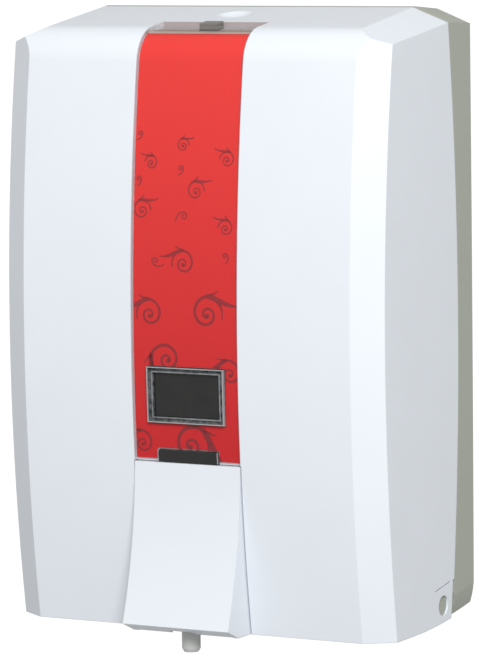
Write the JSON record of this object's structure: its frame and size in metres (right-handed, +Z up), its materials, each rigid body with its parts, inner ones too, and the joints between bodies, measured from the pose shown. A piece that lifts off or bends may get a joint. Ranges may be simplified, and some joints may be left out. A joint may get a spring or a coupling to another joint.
{
  "type": "wall mounted soap dispenser",
  "caption": "Wall mounted liquid soap dispenser: bevelled white cover hinged at the bottom, printed centre strip with sight window, and a push lever over a small nozzle.",
  "frame": {"origin": "centre of the back plate's rear face, on the wall plane", "axes": "+Y out of the rear face into the wall, front along -Y, +X right, +Z up"},
  "size_m": [0.193, 0.1074, 0.285],
  "materials": {
    "back_plastic": "olive grey moulded plastic, fine matte grain",
    "inner_plastic": "light grey moulded plastic",
    "screw_steel": "zinc plated steel",
    "bottle_plastic": "natural translucent polyethylene",
    "seal_rubber": "black seal rubber",
    "ball_glass": "clear glass ball",
    "pump_plastic": "smooth white acetal",
    "nozzle_plastic": "milky translucent polypropylene",
    "cover_plastic": "cool white ABS, satin gloss",
    "clear_plastic": "clear polycarbonate, gloss",
    "label_print": "red printed card with darker scrolls",
    "frame_plastic": "smoky clear moulded ridge",
    "smoke_plastic": "black smoke tinted plastic",
    "latch_plastic": "warm grey moulded plastic"
  },
  "bodies": {
    "base": {"back_plate": "back_plastic", "hinge_pins": "back_plastic", "refill_cradle": "inner_plastic", "latch_keeper": "inner_plastic", "bracket_screws": "screw_steel", "refill_bottle": "bottle_plastic", "bottle_cap": "inner_plastic", "cap_gasket": "seal_rubber", "pump_body": "inner_plastic", "pump_collar": "inner_plastic", "pump_spring": "screw_steel"},
    "ball": {"inlet_ball": "ball_glass"},
    "pump": {"plunger": "pump_plastic", "piston_seal": "seal_rubber", "nozzle": "nozzle_plastic", "drip_valve": "seal_rubber"},
    "cover": {"front_cover": "cover_plastic", "clear_window": "clear_plastic", "label_insert": "label_print", "sight_frame": "frame_plastic", "sight_lens": "smoke_plastic", "window_clip": "smoke_plastic", "lever_axle": "screw_steel", "latch_housing": "inner_plastic", "latch_spring": "screw_steel"},
    "lever": {"push_lever": "cover_plastic"},
    "latch": {"latch_button": "latch_plastic"}
  },
  "joints": [
    {"name": "cover_hinge", "type": "hinge", "parent": "base", "child": "cover", "pos_m": [0, -0.0312, -0.1293], "axis": [1, 0, 0], "range_deg": [0, 90]},
    {"name": "lever_press", "type": "hinge", "parent": "cover", "child": "lever", "pos_m": [0, -0.0865, -0.0673], "axis": [1, 0, 0], "range_deg": [0, 10], "stiffness_Nm_per_rad": 0.6, "springref_deg": -5.73},
    {"name": "pump_stroke", "type": "slide", "parent": "base", "child": "pump", "axis": [0, 1, 0], "range_m": [0, 0.0088], "stiffness_N_per_m": 150, "springref_m": -0.006, "deforming": ["pump_spring"]},
    {"name": "latch_press", "type": "slide", "parent": "cover", "child": "latch", "axis": [0, 0, -1], "range_m": [0, 0.003], "stiffness_N_per_m": 400, "springref_m": -0.002, "deforming": ["latch_spring"]},
    {"name": "inlet_ball_lift", "type": "slide", "parent": "base", "child": "ball", "axis": [0, 0, 1], "range_m": [0, 0.0014]}
  ],
  "couplings": [
    {"joint": "pump_stroke", "follows": "lever_press", "m_per_rad": 0.04983}
  ]
}
